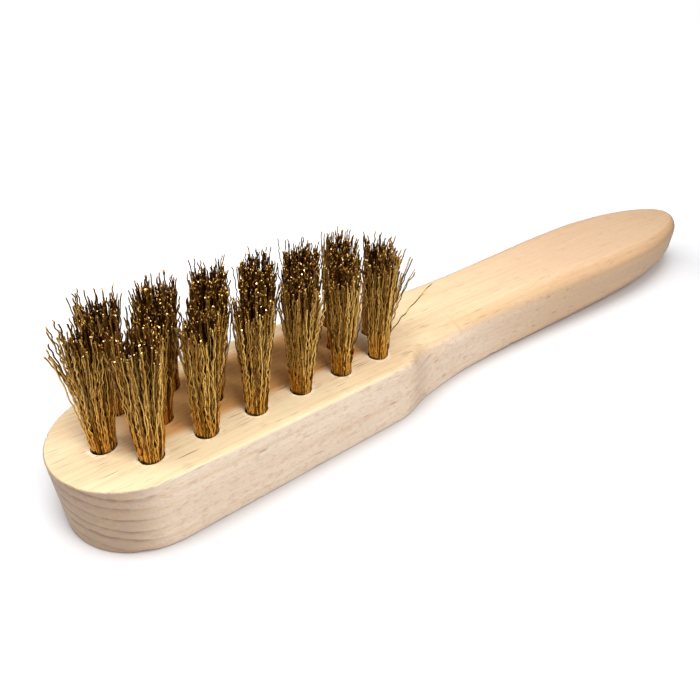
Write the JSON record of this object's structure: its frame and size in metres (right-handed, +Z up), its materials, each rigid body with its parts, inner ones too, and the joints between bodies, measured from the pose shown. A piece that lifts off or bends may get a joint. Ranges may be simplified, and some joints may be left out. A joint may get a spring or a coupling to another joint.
{
  "type": "wire brush",
  "caption": "Hand wire brush with staggered rows of crimped brass wire tufts set in a one-piece beech block that narrows to a swelling handle.",
  "frame": {"origin": "middle of the flat underside's bounding box, on the surface that the brush lies on", "axes": "+X along the brush from the nose of the head to the end of the handle, +Y across it, +Z up, out of the tufted face"},
  "size_m": [0.225, 0.0324, 0.0381],
  "materials": {
    "beech": "bare, sanded",
    "brass_wire": "drawn and crimped, slightly dull",
    "anchor_steel": "bare drawn strip"
  },
  "bodies": {
    "root": {"beech_block": "beech", "tuft_near_1": "brass_wire", "tuft_near_2": "brass_wire", "tuft_near_3": "brass_wire", "tuft_near_4": "brass_wire", "tuft_near_5": "brass_wire", "tuft_near_6": "brass_wire", "tuft_middle_1": "brass_wire", "tuft_middle_2": "brass_wire", "tuft_middle_3": "brass_wire", "tuft_middle_4": "brass_wire", "tuft_middle_5": "brass_wire", "tuft_middle_6": "brass_wire", "tuft_middle_7": "brass_wire", "tuft_far_1": "brass_wire", "tuft_far_2": "brass_wire", "tuft_far_3": "brass_wire", "tuft_far_4": "brass_wire", "tuft_far_5": "brass_wire", "tuft_far_6": "brass_wire", "anchor_near_1": "anchor_steel", "anchor_near_2": "anchor_steel", "anchor_near_3": "anchor_steel", "anchor_near_4": "anchor_steel", "anchor_near_5": "anchor_steel", "anchor_near_6": "anchor_steel", "anchor_middle_1": "anchor_steel", "anchor_middle_2": "anchor_steel", "anchor_middle_3": "anchor_steel", "anchor_middle_4": "anchor_steel", "anchor_middle_5": "anchor_steel", "anchor_middle_6": "anchor_steel", "anchor_middle_7": "anchor_steel", "anchor_far_1": "anchor_steel", "anchor_far_2": "anchor_steel", "anchor_far_3": "anchor_steel", "anchor_far_4": "anchor_steel", "anchor_far_5": "anchor_steel", "anchor_far_6": "anchor_steel"}
  },
  "joints": []
}
